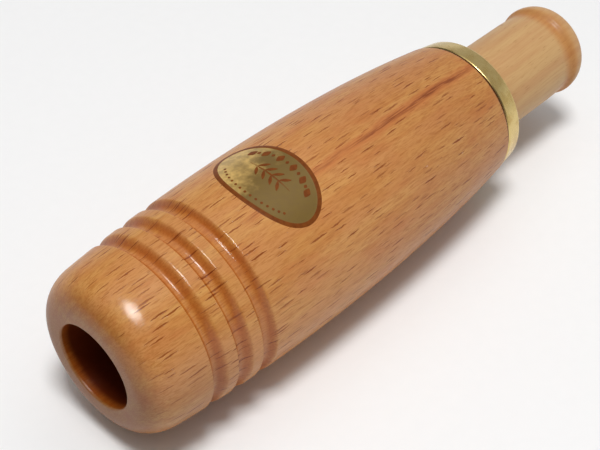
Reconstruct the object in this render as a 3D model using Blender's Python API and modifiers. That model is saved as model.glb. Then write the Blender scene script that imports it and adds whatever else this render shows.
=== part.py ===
"""Wooden duck call: a turned beech barrel with a brass ferrule and an oval badge, and a
push-in mouthpiece whose cork-lapped tenon holds the reed unit.

Metres, +Z up. The call lies on its side: its turning axis is parallel to X, the bell end
at -X, the mouthpiece at +X, and the widest ring of the barrel touches z = 0. The origin is
under the middle of its length.

A "station" is a distance along the turning axis from the bell face, and every turned
outline is a list of (station, radius) points.
"""

import math

import bmesh
import bpy
import numpy as np
from mathutils import Matrix, Vector

# ---- driving dimensions ----
LENGTH = 0.120  # bell face to the tip of the mouthpiece
MAX_RADIUS = 0.017  # widest ring of the barrel
BORE_RADIUS = 0.0079  # resonator bore of the barrel
GAP = 0.0003  # clearance between pieces that touch
TURN_STEPS = 32  # facets round a turned piece

# Barrel
BARREL_STATIONS = (0.006, 0.016, 0.028, 0.042, 0.062, 0.080, 0.0875)
BARREL_RADII = (0.0152, 0.01605, 0.01675, MAX_RADIUS, 0.0164, 0.01495, 0.0139)
NOSE_LENGTH = 0.006  # rounded bell end, from its flat face
NOSE_FLAT_RADIUS = 0.0098
NOSE_POWER = 2.2  # exponent of the superellipse that rounds an end
GROOVE_STARTS = (0.0112, 0.0163, 0.0214)
GROOVE_WIDTH = 0.0029
GROOVE_DEPTH = 0.0012
SHOULDER = 0.088  # where the barrel steps down to the ferrule's seat
SHOULDER_ROUND = 0.0005
SEAT_RADIUS = 0.0122
BARREL_END = 0.0912
EDGE_BREAK = 0.0003  # small chamfer on a turned edge

# Ferrule
FERRULE_RADIUS = 0.0137  # at its bell edge, just under the barrel's shoulder
FERRULE_MOUTH_RADIUS = 0.01315
FERRULE_END = 0.0921
FERRULE_ROUND = 0.0003

# Badge
BADGE_STATION = 0.0377
BADGE_TURN = math.radians(4.6)  # from straight up towards -Y
BADGE_HALF_WIDTH = 0.00693  # along the barrel
BADGE_HALF_LENGTH = 0.0110  # round the barrel
BADGE_THICKNESS = 0.0002
BADGE_RINGS = 6

# Mouthpiece
TENON_START = 0.070
TENON_RADIUS = BORE_RADIUS - GAP - 0.00005
STEM_START = BARREL_END + GAP
STEM_RADIUS = 0.0088
STEM_NECK_RADIUS = 0.0086  # where the stem meets the bead
BEAD_START = 0.1146
BEAD_FACE = 0.0004  # rise of the bead's front face, along the axis
BEAD_RADIUS = 0.0093
LIP_RADIUS = 0.0054  # flat ring round the blow hole
TENON_BORE_RADIUS = 0.0052
BLOW_HOLE_RADIUS = 0.0042
BLOW_HOLE_START = 0.111

# Cork sleeve on the tenon
CORK_START = 0.0743
CORK_END = 0.0857
CORK_SEAT_RADIUS = 0.00655

# Reed unit: a round block holds a D-section trough, the reed and its wedge
BLOCK_START = 0.068
BLOCK_END = 0.082
BLOCK_HOLE_RADIUS = 0.0039
TROUGH_START = 0.066
TROUGH_END = 0.108
TROUGH_RADIUS = BLOCK_HOLE_RADIUS - GAP
CHANNEL_RADIUS = 0.0024
CHANNEL_END = 0.104
FACING_START = 0.084
FACING_DROP = 0.0012  # how far the facing has curved away at the trough's tip
REED_START = 0.070
REED_END = 0.1065
REED_HALF_WIDTH = 0.0028
REED_THICKNESS = 0.0003
REED_PIVOT = 0.077  # the middle of the clamped length, about which the tongue bends
WEDGE_START = 0.0665
WEDGE_END = 0.0805

PARTS = "duck_call"
CUTTERS = "cutters"


def axis_point(station, side=0.0, height=0.0):
    """The world point at a station, off the turning axis by side (+Y) and height (+Z)."""
    return Vector((station - LENGTH / 2, side, MAX_RADIUS + height))


def start_empty_scene():
    for old in list(bpy.data.objects):
        bpy.data.objects.remove(old, do_unlink=True)
    for name in (PARTS, CUTTERS):
        bpy.context.scene.collection.children.link(bpy.data.collections.new(name))


def paint(obj, colour, roughness, metallic=0.0):
    material = bpy.data.materials.new(obj.name + "_finish")
    material.use_nodes = True
    shader = material.node_tree.nodes["Principled BSDF"]
    shader.inputs["Base Color"].default_value = (*colour, 1.0)
    shader.inputs["Roughness"].default_value = roughness
    shader.inputs["Metallic"].default_value = metallic
    obj.data.materials.clear()
    obj.data.materials.append(material)


def add_object(name, data, collection=PARTS):
    obj = bpy.data.objects.new(name, data)
    bpy.data.collections[collection].objects.link(obj)
    return obj


def make_cutter(obj):
    obj.hide_render = True
    obj.display_type = "WIRE"
    return obj


def cut(obj, cutter):
    modifier = obj.modifiers.new("cut_" + cutter.name, "BOOLEAN")
    modifier.operation = "DIFFERENCE"
    modifier.object = cutter
    modifier.solver = "EXACT"


def smooth_rounds(obj):
    """Gives the object its finished mesh, shaded smooth except at turned edges."""
    graph = bpy.context.evaluated_depsgraph_get()
    mesh = bpy.data.meshes.new_from_object(obj.evaluated_get(graph))
    obj.modifiers.clear()
    obj.data = mesh
    mesh.shade_smooth()
    mesh.set_sharp_from_angle(angle=math.radians(32))


def turned(name, outline, origin_station):
    """Turns a closed outline about the long axis. The outline starts at the mouthpiece
    end, runs down its outer side to the bell end, and comes back along its bore."""
    mesh = bpy.data.meshes.new(name)
    points = [(radius, 0.0, station - origin_station) for station, radius in outline]
    count = len(points)
    edges = [(i, (i + 1) % count) for i in range(count)]
    mesh.from_pydata(points, edges, [])
    obj = add_object(name, mesh)
    screw = obj.modifiers.new("turn", "SCREW")
    screw.axis = "Z"
    screw.angle = 2 * math.pi
    screw.steps = TURN_STEPS
    screw.render_steps = TURN_STEPS
    screw.use_merge_vertices = True
    screw.merge_threshold = 0.00001
    # Half a facet of turn puts a flat facet, not a ridge, at the bottom.
    along_x = Matrix.Rotation(math.pi / 2, 4, "Y")
    half_facet = Matrix.Rotation(math.pi / TURN_STEPS, 4, "Z")
    obj.matrix_world = Matrix.Translation(axis_point(origin_station)) @ along_x @ half_facet
    return obj


def superellipse(centre, reach, steps):
    """Points of a quarter superellipse from its widest radius to its flat end.
    centre is (station, radius), reach its two half axes, the first one signed."""
    points = []
    for i in range(steps + 1):
        angle = math.pi / 2 * i / steps
        along = math.sin(angle) ** (2 / NOSE_POWER)
        out = math.cos(angle) ** (2 / NOSE_POWER)
        points.append((centre[0] + reach[0] * along, centre[1] + reach[1] * out))
    return points


BARREL_CURVE = np.polyfit(BARREL_STATIONS, BARREL_RADII, 4)


def barrel_radius(station):
    """Radius of the barrel's smooth bulge, between the rounded end and the shoulder."""
    return float(np.polyval(BARREL_CURVE, station))


def groove(start, steps=4):
    """Round-bottomed groove, as points from its mouthpiece side to its bell side."""
    points = []
    for i in range(steps + 1):
        share = 1 - 2 * i / steps
        station = start + GROOVE_WIDTH * (share + 1) / 2
        depth = GROOVE_DEPTH * math.sqrt(max(0.0, 1 - abs(share) ** NOSE_POWER))
        points.append((station, barrel_radius(station) - depth))
    return points


def barrel_outline():
    outline = [
        (BARREL_END, BORE_RADIUS + EDGE_BREAK),
        (BARREL_END, SEAT_RADIUS - EDGE_BREAK),
        (BARREL_END - EDGE_BREAK, SEAT_RADIUS),
        (SHOULDER, SEAT_RADIUS),
        (SHOULDER, barrel_radius(SHOULDER) - SHOULDER_ROUND),
        (SHOULDER - SHOULDER_ROUND, barrel_radius(SHOULDER - SHOULDER_ROUND)),
    ]
    bulge = np.linspace(0.084, 0.029, 11)
    outline += [(float(s), barrel_radius(s)) for s in bulge]
    for start in reversed(GROOVE_STARTS):
        outline += groove(start)
    nose_radius = barrel_radius(NOSE_LENGTH)
    outline += superellipse(
        (NOSE_LENGTH, NOSE_FLAT_RADIUS),
        (-NOSE_LENGTH, nose_radius - NOSE_FLAT_RADIUS),
        8,
    )
    outline += [
        (0.0, BORE_RADIUS + EDGE_BREAK),
        (EDGE_BREAK, BORE_RADIUS),
        (BARREL_END - EDGE_BREAK, BORE_RADIUS),
    ]
    return outline


def make_barrel():
    barrel = turned("barrel", barrel_outline(), 0.0)
    smooth_rounds(barrel)
    paint(barrel, (0.58, 0.27, 0.10), 0.28)
    return barrel


def make_ferrule():
    start = SHOULDER + GAP
    inner = SEAT_RADIUS + GAP
    outline = [
        (FERRULE_END, inner + EDGE_BREAK),
        (FERRULE_END, FERRULE_MOUTH_RADIUS - FERRULE_ROUND),
        (FERRULE_END - FERRULE_ROUND, FERRULE_MOUTH_RADIUS),
        (start + FERRULE_ROUND, FERRULE_RADIUS),
        (start, FERRULE_RADIUS - FERRULE_ROUND),
        (start, inner + EDGE_BREAK),
        (start + EDGE_BREAK, inner),
        (FERRULE_END - EDGE_BREAK, inner),
    ]
    ferrule = turned("ferrule", outline, start)
    smooth_rounds(ferrule)
    paint(ferrule, (0.55, 0.45, 0.20), 0.25, 1.0)
    return ferrule


def wrap_on_barrel(along, around, lift):
    """A point of the badge, from its flat place to the barrel's round surface."""
    station = BADGE_STATION + along
    radius = barrel_radius(station) + lift
    angle = BADGE_TURN + around / MAX_RADIUS
    return axis_point(station, -radius * math.sin(angle), radius * math.cos(angle))


def make_badge():
    """An oval foil badge: a disc of rings, wrapped on the barrel and given thickness."""
    bm = bmesh.new()
    spoke = [bm.verts.new((i / BADGE_RINGS, 0, 0)) for i in range(BADGE_RINGS + 1)]
    edges = [bm.edges.new(pair) for pair in zip(spoke, spoke[1:])]
    bmesh.ops.spin(
        bm,
        geom=spoke + edges,
        cent=(0, 0, 0),
        axis=(0, 0, 1),
        angle=2 * math.pi,
        steps=TURN_STEPS,
        use_merge=True,
    )
    bmesh.ops.remove_doubles(bm, verts=bm.verts, dist=1e-5)
    for vert in bm.verts:
        along = vert.co.x * BADGE_HALF_WIDTH
        around = vert.co.y * BADGE_HALF_LENGTH
        vert.co = wrap_on_barrel(along, around, GAP)
    bmesh.ops.recalc_face_normals(bm, faces=bm.faces)
    if sum(face.normal.z for face in bm.faces) < 0:
        bmesh.ops.reverse_faces(bm, faces=bm.faces)
    mesh = bpy.data.meshes.new("badge")
    bm.to_mesh(mesh)
    bm.free()
    badge = add_object("badge", mesh)
    solidify = badge.modifiers.new("thickness", "SOLIDIFY")
    solidify.thickness = BADGE_THICKNESS
    solidify.offset = 1.0
    smooth_rounds(badge)
    paint(badge, (0.36, 0.27, 0.10), 0.35, 0.6)
    return badge


def mouthpiece_outline():
    bead_full = BEAD_START + BEAD_FACE
    outline = superellipse(
        (bead_full, LIP_RADIUS),
        (LENGTH - bead_full, BEAD_RADIUS - LIP_RADIUS),
        8,
    )
    outline.reverse()
    outline += [
        (BEAD_START, STEM_NECK_RADIUS),
        (BEAD_START - 0.004, STEM_RADIUS),
        (STEM_START, STEM_RADIUS),
        (STEM_START, TENON_RADIUS),
        (CORK_END + GAP, TENON_RADIUS),
        (CORK_END + GAP, CORK_SEAT_RADIUS),
        (CORK_START - GAP, CORK_SEAT_RADIUS),
        (CORK_START - GAP, TENON_RADIUS),
        (TENON_START + EDGE_BREAK, TENON_RADIUS),
        (TENON_START, TENON_RADIUS - EDGE_BREAK),
        (TENON_START, TENON_BORE_RADIUS + EDGE_BREAK),
        (TENON_START + EDGE_BREAK, TENON_BORE_RADIUS),
        (BLOW_HOLE_START - EDGE_BREAK, TENON_BORE_RADIUS),
        (BLOW_HOLE_START, BLOW_HOLE_RADIUS),
        (LENGTH - EDGE_BREAK, BLOW_HOLE_RADIUS),
        (LENGTH, BLOW_HOLE_RADIUS + EDGE_BREAK),
    ]
    return outline


def make_mouthpiece():
    mouthpiece = turned("mouthpiece", mouthpiece_outline(), STEM_START)
    smooth_rounds(mouthpiece)
    paint(mouthpiece, (0.62, 0.40, 0.20), 0.45)
    return mouthpiece


def make_tenon_cork():
    inner = CORK_SEAT_RADIUS + GAP
    outer = BORE_RADIUS - GAP
    outline = [
        (CORK_END, inner),
        (CORK_END, outer - EDGE_BREAK),
        (CORK_END - EDGE_BREAK, outer),
        (CORK_START + EDGE_BREAK, outer),
        (CORK_START, outer - EDGE_BREAK),
        (CORK_START, inner),
    ]
    cork = turned("tenon_cork", outline, CORK_START)
    smooth_rounds(cork)
    paint(cork, (0.50, 0.31, 0.16), 0.85)
    return cork


def make_reed_block():
    outer = TENON_BORE_RADIUS - GAP
    outline = [
        (BLOCK_END, BLOCK_HOLE_RADIUS),
        (BLOCK_END, outer - EDGE_BREAK),
        (BLOCK_END - EDGE_BREAK, outer),
        (BLOCK_START + EDGE_BREAK, outer),
        (BLOCK_START, outer - EDGE_BREAK),
        (BLOCK_START, BLOCK_HOLE_RADIUS),
    ]
    block = turned("reed_block", outline, BLOCK_START)
    smooth_rounds(block)
    paint(block, (0.60, 0.38, 0.18), 0.5)
    return block


def rod(name, radius, start, end, collection=PARTS):
    """A round bar on the turning axis, as a primitive cylinder."""
    bpy.ops.mesh.primitive_cylinder_add(
        vertices=TURN_STEPS,
        radius=radius,
        depth=end - start,
        location=axis_point((start + end) / 2),
        rotation=(0, math.pi / 2, 0),
    )
    obj = bpy.context.active_object
    obj.name = name
    for owner in list(obj.users_collection):
        owner.objects.unlink(obj)
    bpy.data.collections[collection].objects.link(obj)
    return obj


def facing_height(station):
    """Height of the trough's facing: flat under the clamp, then curving down."""
    share = max(0.0, station - FACING_START) / (TROUGH_END - FACING_START)
    return -FACING_DROP * share**2


def side_cutter(name, outline, half_width):
    """A cutter with a side outline of (station, height) points, spanning half_width."""
    curve = bpy.data.curves.new(name, "CURVE")
    curve.dimensions = "2D"
    curve.fill_mode = "BOTH"
    curve.extrude = half_width
    spline = curve.splines.new("POLY")
    spline.points.add(len(outline) - 1)
    for point, (station, height) in zip(spline.points, outline):
        point.co = (station - LENGTH / 2, height, 0, 1)
    spline.use_cyclic_u = True
    guide = add_object(name + "_guide", curve, CUTTERS)
    upright = Matrix.Rotation(math.pi / 2, 4, "X")
    guide.matrix_world = Matrix.Translation((0, 0, MAX_RADIUS)) @ upright
    bpy.context.view_layer.update()
    graph = bpy.context.evaluated_depsgraph_get()
    mesh = bpy.data.meshes.new_from_object(guide.evaluated_get(graph))
    bm = bmesh.new()
    bm.from_mesh(mesh)
    bmesh.ops.remove_doubles(bm, verts=bm.verts, dist=1e-6)
    bmesh.ops.recalc_face_normals(bm, faces=bm.faces)
    bm.to_mesh(mesh)
    bm.free()
    cutter = add_object(name, mesh, CUTTERS)
    cutter.matrix_world = guide.matrix_world.copy()
    bpy.data.objects.remove(guide, do_unlink=True)
    return make_cutter(cutter)


def make_reed_trough():
    """The shallot: a half-round bar, channelled, with a facing that curves away."""
    trough = rod("reed_trough", TROUGH_RADIUS, TROUGH_START, TROUGH_END)
    beyond = 0.002
    top = TROUGH_RADIUS + beyond
    stations = np.linspace(FACING_START, TROUGH_END + beyond, 9)
    facing = [(float(s), facing_height(s)) for s in stations]
    outline = [(TROUGH_START - beyond, 0.0)] + facing
    outline += [(TROUGH_END + beyond, top), (TROUGH_START - beyond, top)]
    cut(trough, side_cutter("facing_cutter", outline, top))
    channel = rod("channel_cutter", CHANNEL_RADIUS, TROUGH_START - beyond, CHANNEL_END, CUTTERS)
    cut(trough, make_cutter(channel))
    smooth_rounds(trough)
    paint(trough, (0.55, 0.45, 0.20), 0.3, 1.0)
    return trough


def make_reed():
    """The tongue: a thin strip with a round tip, its origin on the line it bends about."""
    curve = bpy.data.curves.new("reed", "CURVE")
    curve.dimensions = "2D"
    curve.fill_mode = "BOTH"
    curve.extrude = REED_THICKNESS / 2
    tip_centre = REED_END - REED_HALF_WIDTH
    angles = np.linspace(-math.pi / 2, math.pi / 2, 11)
    outline = [(REED_START, REED_HALF_WIDTH), (REED_START, -REED_HALF_WIDTH)]
    for angle in angles:
        tip_station = tip_centre + REED_HALF_WIDTH * math.cos(angle)
        outline.append((tip_station, REED_HALF_WIDTH * math.sin(angle)))
    spline = curve.splines.new("POLY")
    spline.points.add(len(outline) - 1)
    for point, (station, side) in zip(spline.points, outline):
        point.co = (station - REED_PIVOT, side, 0, 1)
    spline.use_cyclic_u = True
    reed = add_object("reed", curve)
    reed.location = axis_point(REED_PIVOT, 0.0, GAP + REED_THICKNESS / 2)
    paint(reed, (0.60, 0.48, 0.22), 0.3, 1.0)
    return reed


def make_reed_wedge():
    """The half-round cork that pins the reed on the trough."""
    wedge = rod("reed_wedge", TROUGH_RADIUS, WEDGE_START, WEDGE_END)
    under = 2 * GAP + REED_THICKNESS
    beyond = 0.002
    outline = [
        (WEDGE_START - beyond, under),
        (WEDGE_START - beyond, -TROUGH_RADIUS - beyond),
        (WEDGE_END + beyond, -TROUGH_RADIUS - beyond),
        (WEDGE_END + beyond, under),
    ]
    cut(wedge, side_cutter("wedge_cutter", outline, TROUGH_RADIUS + beyond))
    smooth_rounds(wedge)
    paint(wedge, (0.48, 0.30, 0.16), 0.85)
    return wedge


def main():
    start_empty_scene()
    make_barrel()
    make_ferrule()
    make_badge()
    make_mouthpiece()
    make_tenon_cork()
    make_reed_block()
    make_reed_trough()
    make_reed()
    make_reed_wedge()


main()
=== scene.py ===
"""The finished look of a turned beech duck call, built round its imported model.

Outlines and sizes are in millimetres and become metres when a mesh is made. A station is a
distance along the turning axis from the bell face, and a turned outline is a closed list of
corners (station, radius, ease), where ease is how far the corner's rounding reaches.
"""

import math

import bmesh
import bpy
import numpy as np
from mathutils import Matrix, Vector


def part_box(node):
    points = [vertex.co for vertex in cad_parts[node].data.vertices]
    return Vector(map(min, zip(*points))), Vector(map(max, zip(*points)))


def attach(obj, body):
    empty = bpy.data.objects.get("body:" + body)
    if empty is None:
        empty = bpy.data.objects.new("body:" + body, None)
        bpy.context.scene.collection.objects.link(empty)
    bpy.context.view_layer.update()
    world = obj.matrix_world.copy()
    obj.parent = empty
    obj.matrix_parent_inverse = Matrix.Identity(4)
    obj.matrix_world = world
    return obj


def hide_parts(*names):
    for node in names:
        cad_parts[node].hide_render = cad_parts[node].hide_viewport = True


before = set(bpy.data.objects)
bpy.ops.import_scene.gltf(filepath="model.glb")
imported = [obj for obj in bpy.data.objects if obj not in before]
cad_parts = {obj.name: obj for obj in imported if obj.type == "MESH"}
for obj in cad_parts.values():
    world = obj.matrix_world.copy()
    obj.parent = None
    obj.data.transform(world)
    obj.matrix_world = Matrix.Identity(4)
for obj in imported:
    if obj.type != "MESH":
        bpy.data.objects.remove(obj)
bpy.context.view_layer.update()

# ---- sizes read from the frame, in millimetres ----
MM = 0.001
CAD_STEPS = 32  # facets of the frame's turned solids, whose corners lie on the true circle


def box_mm(node):
    low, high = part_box(node)
    return low / MM, high / MM


def turned_radius(node):
    """The true outer radius of a turned node, from the corners of its facets."""
    low, high = box_mm(node)
    return (high.y - low.y) / 2 / math.cos(math.pi / CAD_STEPS)


def stations(node):
    low, high = box_mm(node)
    return low.x - BELL_X, high.x - BELL_X


BELL_X = box_mm("barrel")[0].x
AXIS_Z = (box_mm("mouthpiece")[0].z + box_mm("mouthpiece")[1].z) / 2
LENGTH = stations("mouthpiece")[1]
BARREL_END = stations("barrel")[1]
WIDEST = turned_radius("barrel")
FERRULE_START, FERRULE_END = stations("ferrule")
FERRULE_RADIUS = turned_radius("ferrule")
TENON_START = stations("mouthpiece")[0]
BEAD_RADIUS = turned_radius("mouthpiece")
CORK_START, CORK_END = stations("tenon_cork")
CORK_RADIUS = turned_radius("tenon_cork")
BLOCK_START, BLOCK_END = stations("reed_block")
BLOCK_RADIUS = turned_radius("reed_block")
TROUGH_START, TROUGH_END = stations("reed_trough")
REED_START, REED_END = stations("reed")
WEDGE_START, WEDGE_END = stations("reed_wedge")

# ---- driving dimensions of the turned outlines, in millimetres ----
TURN_STEPS = 192
GAP = 0.3  # clearance between pieces that touch

BARREL_STATIONS = (6, 16, 28, 42, 62, 80, 87.5)
BARREL_RADII = (15.2, 16.05, 16.75, WIDEST, 16.4, 14.95, 13.9)
BORE_RADIUS = 7.9
NOSE_LENGTH = 6.0
NOSE_FLAT_RADIUS = 9.8
NOSE_POWER = 2.2  # exponent of the superellipse that rounds an end
GROOVE_STARTS = (11.2, 16.3, 21.4)
GROOVE_LIPS = (1.0, 1.35, 1.7)  # how late each groove's far wall meets the surface
GROOVE_WIDTH = 3.2
GROOVE_DEPTH = 1.15
GROOVE_FLOOR = 0.4  # share of a groove's width where its floor starts to rise
# How dark each point across a groove is painted: partly burnish by the turning tool, partly
# painted shade on the bell lip and the far wall.
BURNISH_AND_SHADE_SHARES = (0.0, 0.17, 0.27, 0.42, 0.6, 0.74, 0.95)  # of the way across a groove
BURNISH_AND_SHADE_LEVELS = (1.0, 1.0, 0.45, 0.5, 1.0, 0.9, 0.0)
SHOULDER = 88.0
SEAT_RADIUS = 12.2
FERRULE_MOUTH_RADIUS = 13.15  # the ferrule carries on the barrel's taper

BADGE_STATION = 37.7
BADGE_HALF_LENGTH = 11.0  # round the barrel
BADGE_TURN = math.radians(4.6)  # from straight up towards -Y
BADGE_RIM = 0.75  # width of its brown border
BADGE_ROOT = -0.02  # where the foil's edge starts, a little under the wood's surface
BADGE_FIELD = 0.022  # height of the foil inside its border
BADGE_PROUD = 0.03  # height of the border
INK_ROOT = 0.01  # where the printed shapes start, inside the foil
INK_PROUD = 0.045

STEM_START = BARREL_END + GAP
STEM_RADIUS = 8.8
STEM_NECK_RADIUS = 8.6
BEAD_START = 114.6
BEAD_FACE = 1.0  # rise of the bead's front face, along the axis
LIP_RADIUS = 5.4
TENON_RADIUS = 7.55
TENON_BORE_RADIUS = 5.2
CORK_SEAT_RADIUS = 6.55
BLOW_HOLE_RADIUS = 4.2
BLOW_HOLE_START = 111.0
BLOCK_HOLE_RADIUS = 3.9
TROUGH_RADIUS = BLOCK_HOLE_RADIUS - GAP
CHANNEL_RADIUS = 2.4
CHANNEL_END = 104.0
CHANNEL_ROUND = CHANNEL_END - CHANNEL_RADIUS  # where its end starts to round off
FACING_START = 84.0
FACING_DROP = 1.2  # how far the trough's facing has curved away at its tip
REED_EDGE = 0.06  # size of the reed's broken edges
WEDGE_EASE = 0.35  # rounding of the cork wedge's ends
WEDGE_TAPER = 0.2  # how much smaller its radius is where it goes in

BARREL_CURVE = np.polyfit(BARREL_STATIONS, BARREL_RADII, 4)

# ---- the wood, in millimetres ----
BARREL_PITH = (20.6, -28.3)  # the tree's middle, as (y, z) from the turning axis
PALE_PITH = (-18.0, 30.0)
BARREL_RAYS = (9.4, 0.68, 4.0)  # spacing of the flecks: along, round and out from the pith
FINE_RAYS = (4.4, 0.5, 3.0)
PALE_RAYS = (4.6, 0.8, 6.0)
STREAK_TURN = math.radians(17.8)  # the mineral streak, from straight up towards -Y
STREAK_START = 26.0
STREAK_END = 92.0

# ---- light and camera, in metres ----
SOFTBOX_PLACE = (-0.14, -0.17, 1.0)
SOFTBOX_AIM = (-0.05, 0.0, 0.02)
SOFTBOX_SIZE = (0.26, 0.25)
SOFTBOX_WATTS = 7.25
CAMERA_PLACE = (-0.1369, -0.1192, 0.1784)
CAMERA_AIM = (-0.01411, -0.00076, 0.017)
CAMERA_LENS = 81.06  # millimetres, on a sensor 36 mm wide


# ---------------------------------------------------------------- meshes


def barrel_radius(station):
    """Radius of the barrel's smooth bulge, between the rounded end and the shoulder."""
    return float(np.polyval(BARREL_CURVE, station))


def around_axis(station, radius, angle):
    """A world point, in metres, at an angle from straight up towards -Y."""
    side = -radius * math.sin(angle)
    height = AXIS_Z + radius * math.cos(angle)
    return Vector((BELL_X + station, side, height)) * MM


def walk(points, start, step, distance):
    """The point at a distance along a closed outline from a corner, and the corners passed."""
    here = np.array(points[start][:2])
    passed = []
    index = start
    while True:
        index = (index + step) % len(points)
        there = np.array(points[index][:2])
        leg = float(np.linalg.norm(there - here))
        if leg >= distance:
            return here + (there - here) * (distance / leg), passed
        distance -= leg
        here = there
        passed.append(index)


def eased(outline, steps=6):
    """The outline as (station, radius) points, with each corner's rounding put in."""
    replaced = {}
    dropped = set()
    for index, (station, radius, ease) in enumerate(outline):
        if ease == 0:
            continue
        before, passed_before = walk(outline, index, -1, ease)
        after, passed_after = walk(outline, index, 1, ease)
        corner = np.array((station, radius))
        curve = []
        for share in np.linspace(0, 1, steps + 1):
            curve.append(
                (1 - share) ** 2 * before + 2 * share * (1 - share) * corner + share**2 * after
            )
        replaced[index] = curve
        dropped.update(passed_before + passed_after)
    points = []
    for index, (station, radius, _) in enumerate(outline):
        if index in replaced:
            points += [tuple(point) for point in replaced[index]]
        elif index not in dropped:
            points.append((station, radius))
    return points


def superellipse(centre, reach, steps, slope=0.0):
    """A quarter superellipse from its widest radius to its flat end, as outline corners.
    centre is (station, radius), reach its two half axes, the first one signed. It leaves its
    widest radius at a slope, to carry on a surface that rises."""
    corners = []
    for angle in np.linspace(0, math.pi / 2, steps + 1):
        along = reach[0] * math.sin(angle) ** (2 / NOSE_POWER)
        out = abs(math.cos(angle)) ** (2 / NOSE_POWER)
        corners.append((centre[0] + along, centre[1] + (reach[1] + slope * along) * out, 0))
    return corners


def finish_mesh(name, bm, sharp_angle=35):
    """A smooth-shaded object from a bmesh whose faces point out."""
    bmesh.ops.recalc_face_normals(bm, faces=bm.faces)
    mesh = bpy.data.meshes.new(name)
    bm.to_mesh(mesh)
    bm.free()
    mesh.shade_smooth()
    mesh.set_sharp_from_angle(angle=math.radians(sharp_angle))
    obj = bpy.data.objects.new(name, mesh)
    bpy.context.scene.collection.objects.link(obj)
    return obj


def fit_out(obj, material, body, node):
    """Gives a piece its material, puts it on its body and in place of its frame node."""
    obj.data.materials.append(material)
    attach(obj, body)
    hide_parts(node)


def turned(name, outline, burnish_and_shade=None):
    """A piece of revolution from a closed outline. Its last argument, a function of (station,
    radius), gives from 0 to 1 how dark a point is painted for the material: partly burnish
    by the turning tool, partly painted shade."""
    points = eased(outline)
    bm = bmesh.new()
    layer = bm.verts.layers.float.new("burnish_and_shade")
    rings = []
    for station, radius in points:
        ring = []
        for step in range(TURN_STEPS):
            vert = bm.verts.new(around_axis(station, radius, 2 * math.pi * step / TURN_STEPS))
            vert[layer] = burnish_and_shade(station, radius) if burnish_and_shade else 0.0
            ring.append(vert)
        rings.append(ring)
    for ring, following in zip(rings, rings[1:] + rings[:1]):
        for step in range(TURN_STEPS):
            beside = (step + 1) % TURN_STEPS
            bm.faces.new((ring[step], ring[beside], following[beside], following[step]))
    return finish_mesh(name, bm)


def along_wall(share, lip):
    """A share of the way across a groove, held back on its far wall by a late lip."""
    if share < GROOVE_FLOOR:
        return share
    wall = 1 - GROOVE_FLOOR
    return GROOVE_FLOOR + wall * ((share - GROOVE_FLOOR) / wall) ** lip


def groove_depth(share):
    """Depth of a groove, as a share of its full depth, at a share of the way across from the
    bell side: a steep drop, a short floor and a far wall that eases out into the surface."""
    if share < GROOVE_FLOOR:
        return math.sqrt(1 - (1 - share / GROOVE_FLOOR) ** 2)
    return (1 + math.cos(math.pi * (share - GROOVE_FLOOR) / (1 - GROOVE_FLOOR))) / 2


def groove(start, lip, steps=40):
    """A turned groove, from its mouthpiece side to its bell side."""
    corners = []
    for share in np.linspace(1, 0, steps + 1) ** 1.5:
        station = start + GROOVE_WIDTH * share
        depth = GROOVE_DEPTH * groove_depth(along_wall(share, lip))
        corners.append((station, barrel_radius(station) - depth, 0))
    corners[-1] = (*corners[-1][:2], 0.12)
    return corners


def groove_burnish_and_shade(station, radius):
    """How dark a groove is painted at a point, from 0 to 1: strong just inside its bell lip and
    on its far wall, weaker on its floor. Partly burnish, partly painted shade.
    """
    if radius < BORE_RADIUS + 2:
        return 0.0
    for start, lip in zip(GROOVE_STARTS, GROOVE_LIPS):
        share = (station - start) / GROOVE_WIDTH
        if 0 < share < 1:
            return float(np.interp(along_wall(share, lip), BURNISH_AND_SHADE_SHARES, BURNISH_AND_SHADE_LEVELS))
    return 0.0


def bulge(start, end, spacing):
    """The barrel's smooth surface between two stations, start nearer the mouthpiece."""
    count = int(abs(start - end) / spacing) + 1
    return [(float(s), barrel_radius(s), 0) for s in np.linspace(start, end, count + 1)]


def make_barrel():
    outline = [
        (BARREL_END, BORE_RADIUS, 0.3),
        (BARREL_END, SEAT_RADIUS, 0.3),
        (SHOULDER, SEAT_RADIUS, 0.1),
        (SHOULDER, barrel_radius(SHOULDER), 0.35),
    ]
    above = SHOULDER - 1
    for start, lip in zip(GROOVE_STARTS[::-1], GROOVE_LIPS[::-1]):
        outline += bulge(above, start + GROOVE_WIDTH + 0.1, 1.0)
        outline += groove(start, lip)
        above = start - 0.15
    outline += bulge(above, NOSE_LENGTH + 0.3, 0.5)
    nose = (-NOSE_LENGTH, barrel_radius(NOSE_LENGTH) - NOSE_FLAT_RADIUS)
    slope = barrel_radius(NOSE_LENGTH + 0.5) - barrel_radius(NOSE_LENGTH - 0.5)
    outline += superellipse((NOSE_LENGTH, NOSE_FLAT_RADIUS), nose, 24, slope)
    outline.append((0.0, BORE_RADIUS, 0.45))
    barrel = turned("turned_barrel", outline, groove_burnish_and_shade)
    fit_out(barrel, barrel_beech(), "barrel", "barrel")


def make_ferrule():
    inner = SEAT_RADIUS + GAP
    outline = [
        (FERRULE_END, inner, 0.2),
        (FERRULE_END, FERRULE_MOUTH_RADIUS, 0.35),
        (FERRULE_START, FERRULE_RADIUS, 0.5),
        (FERRULE_START, inner, 0.2),
    ]
    ferrule = turned("brass_ferrule", outline)
    polished = brass("ferrule_brass", 0.24, (0.06, 3.0, 3.0))
    fit_out(ferrule, polished, "barrel", "ferrule")


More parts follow.
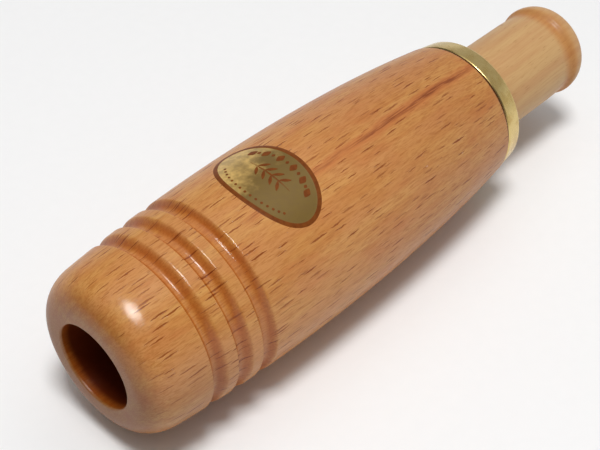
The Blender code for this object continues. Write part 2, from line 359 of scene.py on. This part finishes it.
def make_mouthpiece():
    bead_full = BEAD_START + BEAD_FACE
    bead = (LENGTH - bead_full, BEAD_RADIUS - LIP_RADIUS)
    outline = superellipse((bead_full, LIP_RADIUS), bead, 20)[:0:-1]
    outline += [
        (bead_full, BEAD_RADIUS, 0.4),
        (BEAD_START, STEM_NECK_RADIUS, 0.6),
        (BEAD_START - 4, STEM_RADIUS, 1.5),
        (STEM_START, STEM_RADIUS, 0.35),
        (STEM_START, TENON_RADIUS, 0.1),
        (CORK_END + GAP, TENON_RADIUS, 0.15),
        (CORK_END + GAP, CORK_SEAT_RADIUS, 0.1),
        (CORK_START - GAP, CORK_SEAT_RADIUS, 0.1),
        (CORK_START - GAP, TENON_RADIUS, 0.15),
        (TENON_START, TENON_RADIUS, 0.4),
        (TENON_START, TENON_BORE_RADIUS, 0.3),
        (BLOW_HOLE_START, TENON_BORE_RADIUS, 0.2),
        (BLOW_HOLE_START, BLOW_HOLE_RADIUS, 0.2),
        (LENGTH, BLOW_HOLE_RADIUS, 0.45),
    ]
    mouthpiece = turned("turned_mouthpiece", outline)
    lacquered = pale_beech("mouthpiece_beech", 0.48, 0.18)
    fit_out(mouthpiece, lacquered, "mouthpiece", "mouthpiece")


def on_badge(along, around, proud):
    """A world point on the barrel at a place of the badge, standing proud of the wood."""
    station = BADGE_STATION + along
    return around_axis(station, barrel_radius(station) + proud, BADGE_TURN + around / WIDEST)


def ink_shape(bm, centre, reach, turn, power=1.0, corners=20):
    """A thin printed shape on the badge: a lozenge at power 1, an ellipse at power 2."""
    rings = []
    for share, proud in ((1, INK_ROOT), (1, INK_PROUD), (0.5, INK_PROUD)):
        ring = []
        for angle in np.linspace(0, 2 * math.pi, corners, endpoint=False):
            cosine = math.copysign(abs(math.cos(angle)) ** (2 / power), math.cos(angle))
            sine = math.copysign(abs(math.sin(angle)) ** (2 / power), math.sin(angle))
            along = share * reach[0] * cosine
            around = share * reach[1] * sine
            turned_along = centre[0] + along * math.cos(turn) - around * math.sin(turn)
            turned_around = centre[1] + along * math.sin(turn) + around * math.cos(turn)
            ring.append(bm.verts.new(on_badge(turned_along, turned_around, proud)))
        rings.append(ring)
    middle = bm.verts.new(on_badge(*centre, INK_PROUD))
    under = bm.verts.new(on_badge(*centre, INK_ROOT))
    for step in range(corners):
        beside = (step + 1) % corners
        faces = []
        for ring, inner in zip(rings, rings[1:]):
            faces.append((ring[step], ring[beside], inner[beside], inner[step]))
        faces.append((rings[-1][step], rings[-1][beside], middle))
        faces.append((rings[0][beside], rings[0][step], under))
        for face in faces:
            bm.faces.new(face).material_index = 1


def ornament_arc(half_width, shares, first, last, count):
    """Angles and places on an oval arc of the badge, between two angles in degrees. shares
    are its size across and along the badge, as shares of the badge's own."""
    arc = []
    for angle in np.radians(np.linspace(first, last, count)):
        along = shares[0] * half_width * math.cos(angle)
        around = shares[1] * BADGE_HALF_LENGTH * math.sin(angle)
        arc.append((angle, (along, around)))
    return arc


def badge_ornament(bm, half_width):
    """An arc of lozenges along the mouthpiece side, a leaf sprig, and an arc of dots."""
    lozenges = ornament_arc(half_width, (0.66, 0.74), -52, 52, 11)
    for step, (angle, centre) in enumerate(lozenges):
        reach = (0.4, 0.3) if step % 2 else (0.95, 0.62)
        ink_shape(bm, centre, reach, -angle * 0.5, 1.3)
    stem = 0.6
    ink_shape(bm, (stem, 0.0), (0.16, 4.6), 0.0, 1.6)
    for around in (-2.25, -0.65, 0.95, 2.55):
        for side in (-1, 1):
            leaf = (stem + side * 0.95, around)
            ink_shape(bm, leaf, (0.3, 1.05), side * math.radians(-52), 1.5)
    for _, centre in ornament_arc(half_width, (0.74, 0.78), 125, 235, 15):
        ink_shape(bm, centre, (0.24, 0.24), 0.0, 2.0, 12)


def make_badge():
    """An oval foil with a border and an ornament, wrapped on the barrel."""
    low, high = box_mm("badge")
    half_width = (high.x - low.x) / 2
    ovals = []
    border = [(0, BADGE_ROOT), (0, 0.0), (0.12, BADGE_PROUD)]
    border += [(BADGE_RIM, BADGE_PROUD), (BADGE_RIM + 0.05, BADGE_FIELD)]
    for inset, proud in border:
        ovals.append((half_width - inset, BADGE_HALF_LENGTH - inset, proud))
    for share in np.linspace(0.95, 0.05, 14):
        width = (half_width - BADGE_RIM) * share
        length = (BADGE_HALF_LENGTH - BADGE_RIM) * share
        ovals.append((width, length, BADGE_FIELD))
    bm = bmesh.new()
    steps = 120
    rings = []
    for width, length, proud in ovals:
        ring = []
        for angle in np.linspace(0, 2 * math.pi, steps, endpoint=False):
            place = (width * math.cos(angle), length * math.sin(angle))
            ring.append(bm.verts.new(on_badge(*place, proud)))
        rings.append(ring)
    centre = bm.verts.new(on_badge(0, 0, BADGE_FIELD))
    under = bm.verts.new(on_badge(0, 0, BADGE_ROOT))
    for step in range(steps):
        beside = (step + 1) % steps
        for index, (ring, inner) in enumerate(zip(rings, rings[1:])):
            face = bm.faces.new((ring[step], ring[beside], inner[beside], inner[step]))
            face.material_index = 1 if index < len(border) - 1 else 0
        bm.faces.new((rings[-1][step], rings[-1][beside], centre))
        bm.faces.new((rings[0][beside], rings[0][step], under)).material_index = 1
    badge_ornament(bm, half_width)
    badge = finish_mesh("foil_badge", bm)
    fit_out(badge, badge_foil(), "barrel", "badge")
    badge.data.materials.append(badge_ink())


def make_tenon_cork():
    inner = CORK_SEAT_RADIUS + GAP
    outline = [
        (CORK_END, inner, 0.1),
        (CORK_END, CORK_RADIUS, 0.35),
        (CORK_START, CORK_RADIUS, 0.35),
        (CORK_START, inner, 0.1),
    ]
    cork = turned("tenon_cork_sleeve", outline)
    fit_out(cork, ground_cork("sleeve_cork"), "tenon_cork", "tenon_cork")


def make_reed_block():
    outline = [
        (BLOCK_END, BLOCK_HOLE_RADIUS, 0.2),
        (BLOCK_END, BLOCK_RADIUS, 0.3),
        (BLOCK_START, BLOCK_RADIUS, 0.5),
        (BLOCK_START, BLOCK_HOLE_RADIUS, 0.2),
    ]
    block = turned("turned_reed_block", outline)
    bare = pale_beech("block_beech", 0.55, 0.0)
    fit_out(block, bare, "reed_unit", "reed_block")


def on_axis(station, side, height):
    """A world point, in metres, beside and above a station of the turning axis."""
    return Vector((BELL_X + station, side, AXIS_Z + height)) * MM


def loft(bm, sections):
    """Closes a row of equal sections, each a closed list of world points, into a solid."""
    rings = [[bm.verts.new(point) for point in section] for section in sections]
    for ring, following in zip(rings, rings[1:]):
        for step in range(len(ring)):
            beside = (step + 1) % len(ring)
            bm.faces.new((ring[step], ring[beside], following[beside], following[step]))
    bm.faces.new(rings[0][::-1])
    bm.faces.new(rings[-1])


def trough_section(station):
    """The trough's cross-section: a round back, a facing and the channel sunk in it."""
    drop = max(0.0, station - FACING_START) / (TROUGH_END - FACING_START)
    facing = -FACING_DROP * drop**2
    past_round = max(0.0, station - CHANNEL_ROUND)
    channel = math.sqrt(max(0.0, CHANNEL_RADIUS**2 - past_round**2))
    edge = math.sqrt(TROUGH_RADIUS**2 - facing**2)
    points = []
    sides = list(np.linspace(edge, CHANNEL_RADIUS, 4)[:-1])
    sides += [CHANNEL_RADIUS * math.cos(a) for a in np.linspace(0, math.pi, 33)]
    sides += list(np.linspace(-CHANNEL_RADIUS, -edge, 4)[1:])
    for side in sides:
        floor = -math.sqrt(max(0.0, channel**2 - side**2))
        points.append(on_axis(station, side, min(facing, floor)))
    low = math.asin(-facing / TROUGH_RADIUS)
    for angle in np.linspace(math.pi + low, 2 * math.pi - low, 41)[1:-1]:
        side = TROUGH_RADIUS * math.cos(angle)
        points.append(on_axis(station, side, TROUGH_RADIUS * math.sin(angle)))
    return points


def make_reed_trough():
    bm = bmesh.new()
    straight = np.linspace(TROUGH_START, FACING_START, 10)
    curved = np.linspace(FACING_START, CHANNEL_ROUND, 22)[1:]
    rounded = CHANNEL_ROUND + CHANNEL_RADIUS * np.sin(np.linspace(0, math.pi / 2, 15))[1:]
    tip = np.linspace(CHANNEL_END, TROUGH_END, 6)[1:]
    loft(bm, [trough_section(station) for station in (*straight, *curved, *rounded, *tip)])
    trough = finish_mesh("channelled_trough", bm, 30)
    machined = brass("trough_brass", 0.3, (0.05, 3.0, 3.0))
    fit_out(trough, machined, "reed_unit", "reed_trough")


def make_reed():
    """The tongue: a thin strip with a round tip and its edges just broken."""
    low, high = box_mm("reed")
    half_width = (high.y - low.y) / 2
    under = low.z - AXIS_Z
    top = high.z - AXIS_Z
    tip_centre = REED_END - half_width
    straight = np.linspace(REED_START, tip_centre, 24)
    round_tip = tip_centre + half_width * np.sin(np.linspace(0, math.pi / 2, 17))[1:-1]
    blunt_tip = REED_END - 0.01
    sections = []
    for station in (*straight, *round_tip, blunt_tip):
        past = max(0.0, station - tip_centre)
        half = math.sqrt(half_width**2 - past**2)
        corners = [(half - REED_EDGE, top), (half, top - REED_EDGE)]
        corners += [(half, under + REED_EDGE), (half - REED_EDGE, under)]
        corners += [(-side, height) for side, height in corners[::-1]]
        sections.append([on_axis(station, side, height) for side, height in corners])
    bm = bmesh.new()
    loft(bm, sections)
    reed = finish_mesh("reed_tongue", bm, 30)
    rolled = brass("reed_brass", 0.24, (3.0, 0.06, 3.0))
    fit_out(reed, rolled, "reed", "reed")


def make_reed_wedge():
    """A half-round cork, slightly smaller where it goes in, with softened ends."""
    low, high = box_mm("reed_wedge")
    under = low.z - AXIS_Z
    sections = []
    for station in np.linspace(WEDGE_START, WEDGE_END, 29):
        depth = min(station - WEDGE_START, WEDGE_END - station)
        short = max(0.0, WEDGE_EASE - depth)
        inset = WEDGE_EASE - math.sqrt(max(0.0, WEDGE_EASE**2 - short**2))
        taper = WEDGE_TAPER * (station - WEDGE_START) / (WEDGE_END - WEDGE_START)
        radius = TROUGH_RADIUS - inset - taper
        base = under + inset * 0.5
        rise = math.asin(base / radius)
        angles = np.linspace(rise, math.pi - rise, 33)
        arc = [(radius * math.cos(a), radius * math.sin(a)) for a in angles]
        flat = [(side, base) for side in np.linspace(arc[-1][0], arc[0][0], 9)[1:-1]]
        sections.append([on_axis(station, side, height) for side, height in arc + flat])
    bm = bmesh.new()
    loft(bm, sections)
    wedge = finish_mesh("cork_wedge", bm, 40)
    fit_out(wedge, ground_cork("wedge_cork"), "reed_wedge", "reed_wedge")


# ---------------------------------------------------------------- materials


class Graph:
    """The nodes of a material or world. Its methods add nodes and return their outputs."""

    def __init__(self, owner):
        owner.use_nodes = True
        self.owner = owner
        self.tree = owner.node_tree

    def node(self, kind, inputs, **settings):
        node = self.tree.nodes.new(kind)
        for name, value in settings.items():
            setattr(node, name, value)
        for key, value in inputs.items():
            self.feed(node.inputs[key], value)
        return node

    def feed(self, socket, value):
        if isinstance(value, bpy.types.NodeSocket):
            self.tree.links.new(value, socket)
        else:
            socket.default_value = value

    def math(self, operation, first, second=0.0, third=0.0):
        inputs = {0: first, 1: second, 2: third}
        return self.node("ShaderNodeMath", inputs, operation=operation).outputs[0]

    def vector(self, operation, first, second=(0, 0, 0)):
        inputs = {0: first, 1: second}
        node = self.node("ShaderNodeVectorMath", inputs, operation=operation)
        return node.outputs["Value" if operation in ("LENGTH", "DOT_PRODUCT") else "Vector"]

    def split(self, vector):
        return self.node("ShaderNodeSeparateXYZ", {0: vector}).outputs

    def join(self, x, y, z):
        return self.node("ShaderNodeCombineXYZ", {0: x, 1: y, 2: z}).outputs[0]

    def place(self):
        """Millimetres in the frame's axes, from the bell end of the turning axis."""
        coordinate = self.node("ShaderNodeTexCoord", {}).outputs["Object"]
        moved = self.vector("SUBTRACT", coordinate, (BELL_X * MM, 0, AXIS_Z * MM))
        return self.vector("MULTIPLY", moved, (1 / MM,) * 3)

    def noise(self, place, sizes, detail=2.0, roughness=0.5):
        """Noise from 0 to 1 whose lumps measure sizes, in millimetres along each axis."""
        scaled = self.vector("MULTIPLY", place, [1 / size for size in sizes])
        inputs = {"Vector": scaled, "Scale": 1.0, "Detail": detail, "Roughness": roughness}
        return self.node("ShaderNodeTexNoise", inputs).outputs[0]

    def cells(self, place, sizes, pointed=2.0, dimensions="3D"):
        """Distance to the nearest cell point, and that cell's random colour. Places at one
        distance form a ball, which gets points along the axes as pointed falls from 2 to 1."""
        scaled = self.vector("MULTIPLY", place, [1 / size for size in sizes])
        kind = {"distance": "MINKOWSKI", "voronoi_dimensions": dimensions}
        node = self.node("ShaderNodeTexVoronoi", {}, **kind)
        for name, value in (("Vector", scaled), ("Scale", 1.0), ("Exponent", pointed)):
            self.feed(node.inputs[name], value)
        return node.outputs["Distance"], node.outputs["Color"]

    def range(self, value, low, high, to_low=0.0, to_high=1.0, kind="SMOOTHSTEP"):
        inputs = {"Value": value, "From Min": low, "From Max": high}
        inputs.update({"To Min": to_low, "To Max": to_high})
        node = self.node("ShaderNodeMapRange", inputs, interpolation_type=kind, clamp=True)
        return node.outputs[0]

    def times(self, first, *others):
        for other in others:
            first = self.math("MULTIPLY", first, other)
        return first

    def mix(self, factor, first, second, blend="MIX"):
        node = self.node("ShaderNodeMix", {}, data_type="RGBA", blend_type=blend)
        for index, value in ((0, factor), (6, first), (7, second)):
            self.feed(node.inputs[index], value)
        return node.outputs[2]

    def tint(self, factor, tone, shares):
        """The tone with its red, green and blue cut to these shares where factor is 1."""
        return self.mix(factor, tone, (*shares, 1.0), "MULTIPLY")

    def bump(self, height, distance_mm):
        inputs = {"Height": height, "Distance": distance_mm * MM}
        return self.node("ShaderNodeBump", inputs).outputs[0]

    def shade(self, **inputs):
        """Feeds the material's shader and returns the material."""
        shader = self.tree.nodes["Principled BSDF"]
        for name, value in inputs.items():
            self.feed(shader.inputs[name.replace("_", " ")], value)
        return self.owner


def material_graph(name):
    return Graph(bpy.data.materials.new(name))


def colour(red, green, blue):
    """Linear RGBA from the 0 to 255 values of a colour picker."""
    linear = []
    for value in (red, green, blue):
        share = value / 255
        linear.append(share / 12.92 if share <= 0.04045 else ((share + 0.055) / 1.055) ** 2.4)
    return (*linear, 1.0)


def grain_space(g, place, pith):
    """Coordinates in the log, in millimetres: along the fibres, round the growth rings,
    and out from the pith, which lies at pith = (y, z) from the turning axis."""
    drift = g.noise(place, (60, 25, 25), 1.0)
    x, y, z = g.split(place)
    y = g.math("ADD", g.math("SUBTRACT", y, pith[0]), g.math("MULTIPLY_ADD", drift, 3.0, -1.5))
    z = g.math("SUBTRACT", z, pith[1])
    out = g.vector("LENGTH", g.join(0.0, y, z))
    turn = g.math("ARCTAN2", y, z)
    around = g.times(turn, math.hypot(*pith) + WIDEST * 0.8)
    return g.join(x, around, out)


def flat_sawn(g, place, pith):
    """1 where a turned surface lies along the growth rings, 0 where it cuts across them."""
    _, y, z = g.split(place)
    off_axis = g.join(0.0, y, z)
    off_pith = g.vector("NORMALIZE", g.vector("SUBTRACT", off_axis, (0.0, *pith)))
    return g.math("ABSOLUTE", g.vector("DOT_PRODUCT", g.vector("NORMALIZE", off_axis), off_pith))


def ray_flecks(g, log, sizes, least, most):
    """Thin ragged spindles where the turning cuts the wood's rays, from 0 to 1, each with
    its own length and darkness. A ray comes and goes on its way out from the pith."""
    ragged = g.math("MULTIPLY_ADD", g.noise(log, (0.9, 0.5, 2.0), 2.0), 0.3, -0.15)
    along, around, out = g.split(log)
    log = g.join(along, g.math("ADD", around, ragged), out)
    distance, cell = g.cells(log, sizes, 1.4, "2D")
    red, green, blue = g.split(cell)
    reach = g.range(red, 0.0, 1.0, least, most, "LINEAR")
    own_place = g.join(g.times(green, 90.0), g.times(blue, 90.0), out)
    here = g.noise(own_place, (1.0, 1.0, sizes[2]), 0.0)
    reach = g.times(reach, g.range(here, 0.34, 0.5, 0.01, 1.0))
    inside = g.math("DIVIDE", g.math("SUBTRACT", reach, distance), reach)
    dark = g.range(green, 0.0, 1.0, 0.5, 1.0, "LINEAR")
    return g.times(g.range(inside, 0.0, 0.2), dark)


def barrel_beech():
    g = material_graph("lacquered_beech")
    place = g.place()
    log = grain_space(g, place, BARREL_PITH)
    x = g.split(place)[0]
    rays = ray_flecks(g, log, BARREL_RAYS, 0.1, 0.24)
    on_the_face = g.range(bell_face_mask(g, x), 0.2, 1.0, 1.0, 0.25)
    on_the_side = g.range(flat_sawn(g, place, BARREL_PITH), 0.15, 0.6, 0.35, 1.0)
    rays = g.times(rays, on_the_face, on_the_side)
    fibres = g.noise(log, (2.6, 0.26, 0.4), 4.0, 0.7)

    wood = barrel_tones(g, place, log, fibres)
    wood = g.mix(g.times(rays, 0.97), wood, colour(132, 62, 4))
    wood = ferrule_tone_and_nose_shade(g, wood, place)
    wood = streaked(g, wood, place, log)
    wood = worked_and_shaded(g, wood, place)
    height = g.math("ADD", g.times(fibres, 0.7), g.times(rays, -0.6))
    return g.shade(
        Base_Color=wood,
        Roughness=g.range(fibres, 0.2, 0.8, 0.4, 0.5, "LINEAR"),
        Specular_IOR_Level=0.06,
        Normal=g.bump(height, 0.03),
        Coat_Weight=0.3,
        Coat_Roughness=0.1,
        Coat_IOR=2.0,
        Coat_Normal=g.bump(height, 0.05),
    )


def bell_face_mask(g, x):
    """1 on the bell face, where the fibres are cut across, fading out along the barrel."""
    return g.range(x, 3.0, 0.0)


def barrel_tones(g, place, log, fibres):
    """Growth bands, soft patches, warm clouds, fibres and fine flecks."""
    bands = g.noise(log, (34.0, 1.4, 2.2), 3.0, 0.6)
    patches = g.noise(place, (16.0, 6.0, 6.0), 2.0)
    warmth = g.noise(place, (11.0, 3.5, 3.5), 3.0, 0.6)
    fine_rays = ray_flecks(g, log, FINE_RAYS, 0.1, 0.28)
    wood = g.mix(g.range(bands, 0.3, 0.7), colour(204, 149, 82), colour(191, 126, 62))
    wood = g.mix(g.range(patches, 0.4, 0.65, 0.0, 0.8), wood, colour(198, 136, 80))
    wood = g.mix(g.range(warmth, 0.48, 0.7, 0.0, 0.45), wood, colour(186, 108, 54))
    wood = g.mix(g.range(fibres, 0.4, 0.7, 0.0, 0.7), wood, colour(169, 104, 48))
    return g.mix(g.times(fine_rays, 0.4), wood, colour(158, 88, 26))


def ferrule_tone_and_nose_shade(g, wood, place):
    """The wood a little darker towards the ferrule, and painted shade low on the nose."""
    x, _, z = g.split(place)
    # Painted shade on the underside of the nose, below the axis near the bell end.
    painted_nose_shade = g.times(g.range(x, 20.0, 10.0), g.range(z, 9.0, -1.0))
    wood = g.tint(g.range(x, 38.0, 78.0), wood, (0.87, 0.83, 0.78))
    return g.tint(painted_nose_shade, wood, (0.83, 0.84, 0.87))


def streaked(g, wood, place, log):
    """The wood with its mineral streak: a dark core in a red halo."""
    x = g.split(place)[0]
    off, above = streak_place(g, place)
    halo = g.times(g.range(off, 1.7, 0.2), g.range(above, 0.0, 4.0, 0.0, 0.5))
    halo = g.times(halo, g.range(x, STREAK_START, STREAK_START + 8.0))
    wood = g.mix(halo, wood, colour(186, 100, 48))
    return g.mix(streak_core(g, x, log, off, above), wood, colour(128, 62, 20))


def worked_and_shaded(g, wood, place):
    """The wood darker in the grooves, on the bell face, at the shoulder and in the bore: partly
    burnish, end grain, a stained edge and the bore's own stain, partly painted shade.
    """
    x, y, z = g.split(place)
    # Painted shade in the grooves, with some burnish: the bell lip and the far wall darkest.
    burnish_and_shade = g.node("ShaderNodeAttribute", {}, attribute_name="burnish_and_shade").outputs["Fac"]
    wood = g.tint(burnish_and_shade, wood, (0.79, 0.53, 0.28))
    # The bell face painted darker: partly its end grain, partly painted shade.
    wood = g.tint(bell_face_mask(g, x), wood, (0.64, 0.56, 0.47))
    # A thin dark band at the shoulder: partly a stained edge, partly painted shadow of the joint
    # with the ferrule.
    shoulder_stain_and_shadow = g.range(x, SHOULDER - 0.5, SHOULDER - 0.1)
    wood = g.tint(shoulder_stain_and_shadow, wood, (0.5, 0.4, 0.32))
    from_axis = g.vector("LENGTH", g.join(0.0, y, z))
    # The bore painted redder, and dark deeper than about 2 mm: partly the bore's own stain,
    # partly painted shade inside it.
    bore = g.range(from_axis, BORE_RADIUS + 0.35, BORE_RADIUS + 0.05)
    wood = g.tint(g.times(bore, g.range(x, 0.1, 0.6)), wood, (1.0, 0.62, 0.3))
    deep_bore_stain_and_shade = g.times(bore, g.range(x, 0.4, 2.0, 0.0, 0.95))
    return g.mix(deep_bore_stain_and_shade, wood, colour(88, 28, 6))


def streak_place(g, place):
    """The distance from the barrel's mineral streak and the height above the axis, in
    millimetres. The streak wavers along the upper side, turned a little towards -Y."""
    cosine = math.cos(STREAK_TURN)
    sine = math.sin(STREAK_TURN)
    across = g.vector("DOT_PRODUCT", place, (0.0, -cosine, -sine))
    above = g.vector("DOT_PRODUCT", place, (0.0, -sine, cosine))
    waver = g.math("MULTIPLY_ADD", g.noise(place, (9.0, 500.0, 500.0), 2.0), 1.4, -0.7)
    lean = g.math("MULTIPLY_ADD", g.split(place)[0], 0.014, -0.88)
    off = g.math("ABSOLUTE", g.math("ADD", g.math("ADD", across, lean), waver))
    return off, above


def streak_core(g, x, log, off, above):
    """The streak's dark broken core, from 0 to 1."""
    width = g.range(x, 45.0, 70.0, 0.5, 0.85)
    core = g.range(g.math("DIVIDE", off, width), 1.0, 0.2)
    starts = g.range(x, STREAK_START, STREAK_START + 6.0)
    darkens = g.range(x, 52.0, 66.0, 0.55, 1.0)
    ends = g.range(x, STREAK_END, STREAK_END - 12.0)
    broken = g.range(g.noise(log, (6.0, 0.2, 0.6), 3.0, 0.6), 0.36, 0.6, 0.1, 1.0)
    return g.times(core, starts, darkens, ends, broken, g.range(above, 0.0, 4.0))


def pale_beech(name, roughness, coat):
    """Beech that isn't stained, under a thin coat of lacquer or none. The bead's cove is
    painted redder and darker: partly lacquer gathered there, partly painted shade."""
    g = material_graph(name)
    place = g.place()
    log = grain_space(g, place, PALE_PITH)
    rays = ray_flecks(g, log, PALE_RAYS, 0.04, 0.2)
    fibres = g.noise(log, (6.0, 0.35, 0.6), 4.0, 0.65)
    bands = g.noise(log, (30.0, 2.0, 2.5), 2.0)
    wood = g.mix(g.range(bands, 0.35, 0.65), colour(198, 159, 108), colour(192, 148, 100))
    wood = g.mix(g.range(fibres, 0.4, 0.75, 0.0, 0.5), wood, colour(176, 128, 80))
    wood = g.mix(g.times(rays, 0.4), wood, colour(150, 98, 52))
    x = g.split(place)[0]
    # Painted shade with some gathered lacquer, in the bead's cove and on the bead's front face.
    cove = g.range(x, BEAD_START - 2.4, BEAD_START - 0.1)
    bead = g.range(x, BEAD_START + 2.2, BEAD_START + 0.3, 0.3, 1.0)
    wood = g.tint(g.times(cove, bead), wood, (0.92, 0.71, 0.53))
    height = g.math("ADD", g.times(fibres, 0.7), g.times(rays, -0.4))
    return g.shade(
        Base_Color=wood,
        Roughness=roughness,
        Specular_IOR_Level=0.15,
        Normal=g.bump(height, 0.03),
        Coat_Weight=coat,
        Coat_Roughness=0.25,
    )


def brass(name, roughness, line_sizes):
    """Brass with soft wear and the fine lines of its last tool pass."""
    g = material_graph(name)
    place = g.place()
    wear = g.noise(place, (2.5, 2.5, 2.5), 3.0, 0.6)
    lines = g.noise(place, line_sizes, 2.0)
    tone = g.mix(g.range(wear, 0.35, 0.7), colour(218, 192, 128), colour(200, 170, 104))
    return g.shade(
        Base_Color=tone,
        Metallic=1.0,
        Roughness=g.range(wear, 0.3, 0.7, roughness - 0.04, roughness + 0.08, "LINEAR"),
        Normal=g.bump(lines, 0.004),
    )


def ground_cork(name):
    """Cork: tan granules of many tones with dark pores between them."""
    g = material_graph(name)
    place = g.place()
    edge, cell = g.cells(place, (0.9, 0.9, 0.9))
    tone = g.split(cell)[0]
    pores = g.range(g.noise(place, (0.5, 0.5, 0.5), 3.0, 0.6), 0.6, 0.72)
    cork = g.mix(tone, colour(196, 150, 98), colour(164, 116, 68))
    cork = g.mix(g.range(edge, 0.35, 0.75, 0.0, 0.5), cork, colour(120, 78, 42))
    cork = g.mix(g.times(pores, 0.8), cork, colour(74, 42, 22))
    height = g.math("SUBTRACT", g.times(edge, -0.5), pores)
    return g.shade(
        Base_Color=cork,
        Roughness=0.85,
        Specular_IOR_Level=0.2,
        Normal=g.bump(height, 0.12),
    )


def badge_foil():
    """Old-gold foil under lacquer, with a painted reflection: paler towards the bell end and +Y.
    """
    g = material_graph("old_gold_foil")
    place = g.place()
    mottle = g.noise(place, (1.2, 1.2, 1.2), 4.0, 0.6)
    cloud = g.noise(place, (3.4, 3.4, 3.4), 3.0, 0.6)
    along, side, _ = g.split(place)
    # Painted reflection: the foil paler towards the bell end and +Y, broken up by soft clouds.
    painted_reflection = g.times(g.math("SUBTRACT", BADGE_STATION, along), 0.45)
    painted_reflection = g.math("ADD", g.math("ADD", painted_reflection, side), g.range(cloud, 0.3, 0.7, -2.2, 2.2))
    tone = g.mix(g.range(painted_reflection, -1.5, 6.5), colour(115, 89, 30), colour(214, 175, 98))
    tone = g.mix(g.range(mottle, 0.35, 0.65, 0.0, 0.4), tone, colour(110, 84, 36))
    return g.shade(
        Base_Color=tone,
        Metallic=0.25,
        Roughness=0.5,
        Specular_IOR_Level=0.3,
        Normal=g.bump(mottle, 0.02),
        Coat_Weight=0.5,
        Coat_Roughness=0.18,
    )


def badge_ink():
    g = material_graph("brown_ink")
    place = g.place()
    mottle = g.noise(place, (0.8, 0.8, 0.8), 3.0)
    tone = g.mix(g.range(mottle, 0.3, 0.7), colour(120, 62, 14), colour(106, 51, 8))
    return g.shade(
        Base_Color=tone,
        Roughness=0.5,
        Specular_IOR_Level=0.1,
        Coat_Weight=0.12,
        Coat_Roughness=0.18,
    )


# ---------------------------------------------------------------- stage, lights, camera


def make_floor():
    bm = bmesh.new()
    bmesh.ops.create_grid(bm, x_segments=8, y_segments=8, size=4.0)
    mesh = bpy.data.meshes.new("floor")
    bm.to_mesh(mesh)
    bm.free()
    floor = bpy.data.objects.new("floor", mesh)
    bpy.context.scene.collection.objects.link(floor)
    g = material_graph("pale_floor")
    coordinate = g.node("ShaderNodeTexCoord", {}).outputs["Object"]
    tooth = g.node("ShaderNodeTexNoise", {"Vector": coordinate, "Scale": 400.0}).outputs[0]
    tone = g.mix(tooth, (0.86, 0.86, 0.86, 1), (0.88, 0.88, 0.88, 1))
    floor.data.materials.append(g.shade(Base_Color=tone, Roughness=0.9))


def aim_at(obj, place, target):
    """Puts a lamp or the camera in the scene, turned towards a point."""
    obj.location = place
    obj.rotation_euler = (Vector(target) - Vector(place)).to_track_quat("-Z", "Y").to_euler()
    bpy.context.scene.collection.objects.link(obj)


def area_light(name, place, target, size, watts):
    light = bpy.data.lights.new(name, "AREA")
    light.shape = "RECTANGLE"
    light.size, light.size_y = size
    light.energy = watts
    aim_at(bpy.data.objects.new(name, light), place, target)


def make_light():
    """A softbox under a pale ceiling, a wall beyond the mouthpiece, and a low pale surround,
    dimmer beyond the bell end and brighter behind the call."""
    area_light("softbox", SOFTBOX_PLACE, SOFTBOX_AIM, SOFTBOX_SIZE, SOFTBOX_WATTS)
    g = Graph(bpy.data.worlds.new("studio"))
    direction = g.node("ShaderNodeTexCoord", {}).outputs["Generated"]
    x, y, height = g.split(direction)
    ceiling = g.range(height, 0.72, 0.97, 0.1, 0.8)
    wall = g.range(x, 0.2, 0.6, 0.0, 0.36)
    low = g.range(height, 0.4, 0.08)
    bell_side = g.range(x, -0.6, 0.3, 0.02, 0.32)
    behind = g.range(y, 0.45, 0.75, 0.0, 0.1)
    surround = g.times(low, g.math("ADD", bell_side, behind))
    strength = g.math("ADD", surround, g.math("ADD", ceiling, wall))
    background = g.tree.nodes["Background"]
    g.feed(background.inputs["Strength"], strength)
    g.feed(background.inputs["Color"], (1, 1, 1, 1))
    bpy.context.scene.world = g.owner
    bpy.context.scene.view_settings.view_transform = "Standard"


def make_camera():
    data = bpy.data.cameras.new("camera")
    data.lens = CAMERA_LENS
    data.sensor_width = 36.0
    data.clip_start = 0.01
    camera = bpy.data.objects.new("camera", data)
    aim_at(camera, CAMERA_PLACE, CAMERA_AIM)
    bpy.context.scene.camera = camera


# ---------------------------------------------------------------- the call

make_barrel()
make_ferrule()
make_badge()
make_mouthpiece()
make_tenon_cork()
make_reed_block()
make_reed_trough()
make_reed()
make_reed_wedge()
make_floor()
make_light()
make_camera()
